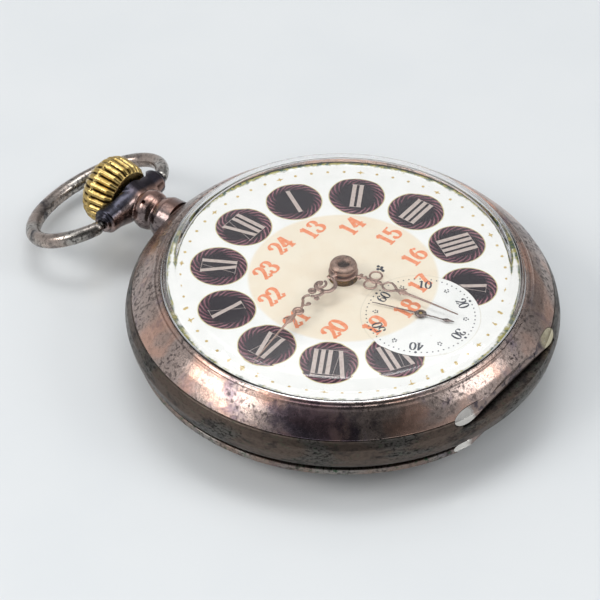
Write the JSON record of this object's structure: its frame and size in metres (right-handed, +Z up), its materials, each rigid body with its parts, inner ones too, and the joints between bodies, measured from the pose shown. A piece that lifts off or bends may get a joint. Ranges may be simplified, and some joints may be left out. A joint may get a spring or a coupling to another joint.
{
  "type": "open face pocket watch",
  "caption": "Open-face pocket watch on its back: round hinged silver case, domed crystal, enamel dial, ribbed crown, oval bow and a complete jewelled movement inside.",
  "frame": {"origin": "centre of the flat rest face in the middle of the back cover, directly under the dial's centre", "axes": "+Z up through the dial, +Y towards 12 o'clock and the pendant, +X towards 3 o'clock"},
  "size_m": [0.0514, 0.0702, 0.0152],
  "materials": {
    "tarnished_silver": "worn silver with dark and copper-coloured tarnish",
    "gilt_brass": "polished gilt with dark grooves",
    "nickel_plate": "striped nickel",
    "polished_steel": "polished",
    "blued_steel": "heat-blued",
    "gilt_brass_wheel": "fine-grained gilt",
    "dial_enamel": "glossy fired enamel",
    "crystal_glass": "clear domed mineral glass",
    "ruby": "polished synthetic ruby",
    "rose_hands": "rose-brown, slightly worn"
  },
  "bodies": {
    "case": {"case_middle": "tarnished_silver", "bezel_hinge_pin": "polished_steel", "back_hinge_pin": "polished_steel", "pendant": "tarnished_silver", "dial": "dial_enamel", "main_plate": "nickel_plate", "barrel_bridge": "nickel_plate", "train_bridge": "nickel_plate", "balance_cock": "nickel_plate", "pallet_cock": "nickel_plate", "hairspring": "blued_steel", "click_spring": "polished_steel", "crown_wheel_screw": "blued_steel", "barrel_bridge_screw_1": "blued_steel", "barrel_bridge_screw_2": "blued_steel", "train_bridge_screw_1": "blued_steel", "train_bridge_screw_2": "blued_steel", "balance_cock_screw": "blued_steel", "case_screw_1": "polished_steel", "case_screw_2": "polished_steel", "pallet_cock_screw": "blued_steel", "centre_jewel": "ruby", "third_jewel": "ruby", "fourth_jewel": "ruby", "escape_jewel": "ruby", "balance_jewel": "ruby"},
    "bezel": {"bezel": "tarnished_silver", "crystal": "crystal_glass"},
    "dust_cover": {"dust_cover": "tarnished_silver"},
    "back_cover": {"back_cover": "tarnished_silver"},
    "bow": {"bow": "tarnished_silver"},
    "winding_works": {"winding_pinion": "polished_steel", "sliding_pinion": "polished_steel"},
    "crown": {"crown": "gilt_brass", "winding_stem": "polished_steel"},
    "crown_wheel": {"crown_wheel": "polished_steel"},
    "ratchet": {"ratchet_wheel": "polished_steel", "ratchet_screw": "blued_steel", "barrel_arbor": "polished_steel"},
    "click": {"click": "polished_steel"},
    "setting_lever": {"setting_lever": "polished_steel"},
    "yoke": {"yoke": "polished_steel"},
    "fourth": {"fourth_wheel": "gilt_brass_wheel", "seconds_hand": "blued_steel"},
    "third": {"third_wheel": "gilt_brass_wheel"},
    "centre": {"centre_wheel": "gilt_brass_wheel"},
    "barrel": {"mainspring_barrel": "gilt_brass_wheel", "barrel_cover": "gilt_brass_wheel", "mainspring": "blued_steel"},
    "escape": {"escape_wheel": "polished_steel"},
    "pallets": {"pallet_fork": "polished_steel"},
    "balance": {"balance_wheel": "gilt_brass_wheel"},
    "regulator": {"regulator": "polished_steel"},
    "minute_works": {"minute_hand": "rose_hands", "cannon_pinion": "rose_hands"},
    "hour_works": {"hour_hand": "rose_hands", "hour_wheel": "gilt_brass_wheel"},
    "minute_wheel": {"minute_wheel": "gilt_brass_wheel"}
  },
  "joints": [
    {"name": "bezel_hinge", "type": "hinge", "parent": "case", "child": "bezel", "pos_m": [0, -0.0233, 0.0093], "axis": [1, 0, 0], "range_deg": [0, 95]},
    {"name": "dust_cover_hinge", "type": "hinge", "parent": "case", "child": "dust_cover", "pos_m": [0, -0.023, 0.0046], "axis": [-1, 0, 0], "range_deg": [0, 55]},
    {"name": "back_cover_hinge", "type": "hinge", "parent": "dust_cover", "child": "back_cover", "pos_m": [0, -0.023, 0.0046], "axis": [-1, 0, 0], "range_deg": [0, 75]},
    {"name": "bow_hinge", "type": "hinge", "parent": "case", "child": "bow", "pos_m": [0, 0.0321, 0.00725], "axis": [1, 0, 0], "range_deg": [-90, 135]},
    {"name": "winding", "type": "hinge", "parent": "case", "child": "winding_works", "pos_m": [0, 0.0165, 0.00725], "axis": [0, 1, 0], "continuous": true},
    {"name": "crown_pull", "type": "slide", "parent": "winding_works", "child": "crown", "axis": [0, 1, 0], "range_m": [0, 0.001]},
    {"name": "crown_wheel_spin", "type": "hinge", "parent": "case", "child": "crown_wheel", "pos_m": [0, 0.01292, 0.0051], "axis": [0, 0, 1], "continuous": true},
    {"name": "ratchet_spin", "type": "hinge", "parent": "case", "child": "ratchet", "pos_m": [-0.0055, 0.00712, 0.0051], "axis": [0, 0, 1], "continuous": true},
    {"name": "click_pivot", "type": "hinge", "parent": "case", "child": "click", "pos_m": [-0.01208, 0.00655, 0.0051], "axis": [0, 0, 1], "range_deg": [0, 12]},
    {"name": "setting_lever_pivot", "type": "hinge", "parent": "case", "child": "setting_lever", "pos_m": [0.0064, 0.011, 0.0098], "axis": [0, 0, 1], "range_deg": [-12, 0]},
    {"name": "yoke_pivot", "type": "hinge", "parent": "case", "child": "yoke", "pos_m": [-0.0074, 0.0126, 0.0098], "axis": [0, 0, 1], "range_deg": [-8, 0]},
    {"name": "fourth_spin", "type": "hinge", "parent": "case", "child": "fourth", "pos_m": [0, -0.0111, 0.007], "axis": [0, 0, 1], "continuous": true},
    {"name": "third_spin", "type": "hinge", "parent": "case", "child": "third", "pos_m": [-0.00369, -0.00643, 0.007], "axis": [0, 0, 1], "continuous": true},
    {"name": "centre_spin", "type": "hinge", "parent": "case", "child": "centre", "pos_m": [0, 0, 0.007], "axis": [0, 0, 1], "continuous": true},
    {"name": "barrel_spin", "type": "hinge", "parent": "case", "child": "barrel", "pos_m": [-0.0055, 0.00712, 0.0075], "axis": [0, 0, 1], "continuous": true},
    {"name": "escape_spin", "type": "hinge", "parent": "case", "child": "escape", "pos_m": [0.00505, -0.0111, 0.0075], "axis": [0, 0, 1], "continuous": true},
    {"name": "pallet_rock", "type": "hinge", "parent": "case", "child": "pallets", "pos_m": [0.00791, -0.00838, 0.0081], "axis": [0, 0, 1], "range_deg": [-4, 4]},
    {"name": "balance_swing", "type": "hinge", "parent": "case", "child": "balance", "pos_m": [0.0119, -0.0046, 0.007], "axis": [0, 0, 1], "range_deg": [-220, 220]},
    {"name": "regulator_turn", "type": "hinge", "parent": "case", "child": "regulator", "pos_m": [0.0119, -0.0046, 0.0053], "axis": [0, 0, 1], "range_deg": [-15, 15]},
    {"name": "minute_hand_turn", "type": "hinge", "parent": "case", "child": "minute_works", "pos_m": [0, 0, 0.0131], "axis": [0, 0, -1], "continuous": true},
    {"name": "hour_hand_turn", "type": "hinge", "parent": "case", "child": "hour_works", "pos_m": [0, 0, 0.0125], "axis": [0, 0, -1], "continuous": true},
    {"name": "minute_wheel_spin", "type": "hinge", "parent": "case", "child": "minute_wheel", "pos_m": [-0.00416, 0.0024, 0.0099], "axis": [0, 0, -1], "continuous": true}
  ],
  "couplings": [
    {"joint": "crown_wheel_spin", "follows": "winding", "ratio": 0.54545},
    {"joint": "ratchet_spin", "follows": "winding", "ratio": -0.375},
    {"joint": "setting_lever_pivot", "follows": "crown_pull", "rad_per_m": -200},
    {"joint": "yoke_pivot", "follows": "crown_pull", "rad_per_m": -130},
    {"joint": "third_spin", "follows": "fourth_spin", "ratio": -0.13333},
    {"joint": "centre_spin", "follows": "fourth_spin", "ratio": 0.016667},
    {"joint": "barrel_spin", "follows": "fourth_spin", "ratio": -0.0020833},
    {"joint": "escape_spin", "follows": "fourth_spin", "ratio": -10},
    {"joint": "hour_hand_turn", "follows": "minute_hand_turn", "ratio": 0.083333},
    {"joint": "minute_wheel_spin", "follows": "minute_hand_turn", "ratio": -0.33333}
  ]
}
